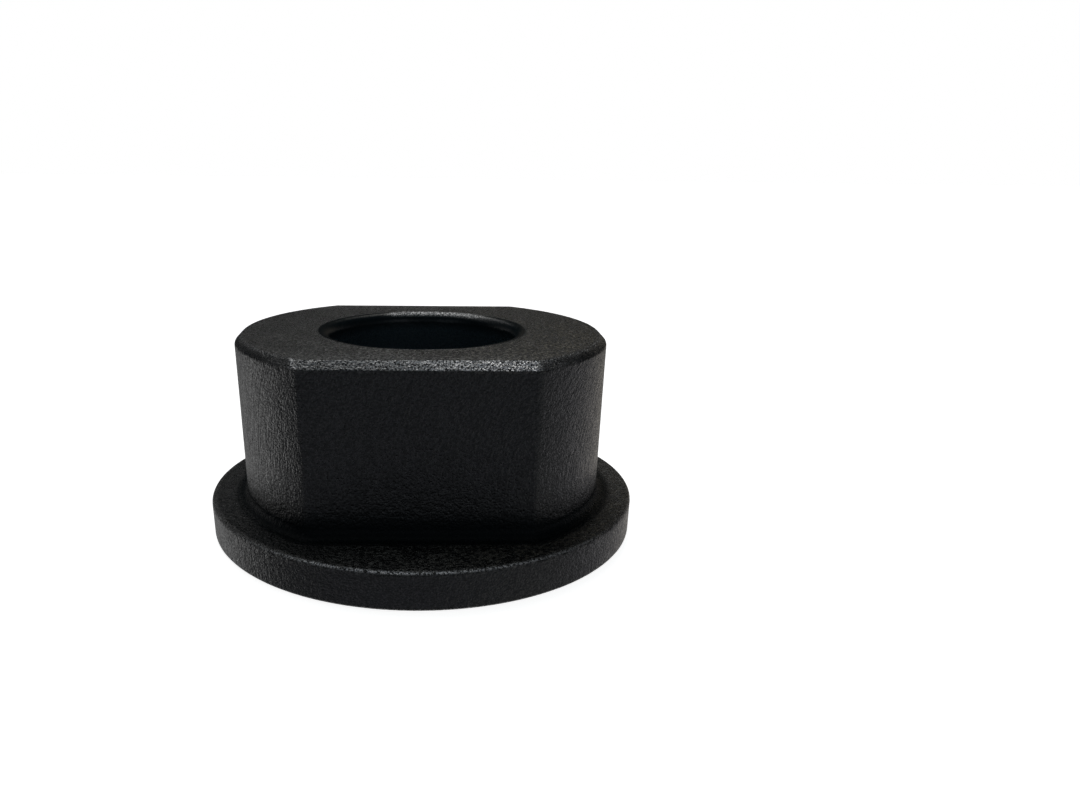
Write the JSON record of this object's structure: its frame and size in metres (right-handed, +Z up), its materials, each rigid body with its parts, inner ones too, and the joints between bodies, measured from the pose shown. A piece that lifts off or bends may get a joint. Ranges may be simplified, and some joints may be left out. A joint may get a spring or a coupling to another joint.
{
  "type": "flanged bushing",
  "caption": "Moulded plastic bushing with a double-D barrel on a round flange and a plain round bore for a shaft.",
  "frame": {"origin": "centre of the flange's underside, on the bore's axis", "axes": "+Z up the bore from the flange to the barrel's free end; the barrel's two flats face -Y and +Y; the picture looks at it from -Y and above"},
  "size_m": [0.038, 0.038, 0.0173],
  "materials": {
    "moulded_nylon": "black moulded plastic with a fine sandy grain and a dull sheen"
  },
  "bodies": {
    "root": {"bushing": "moulded_nylon"}
  },
  "joints": []
}
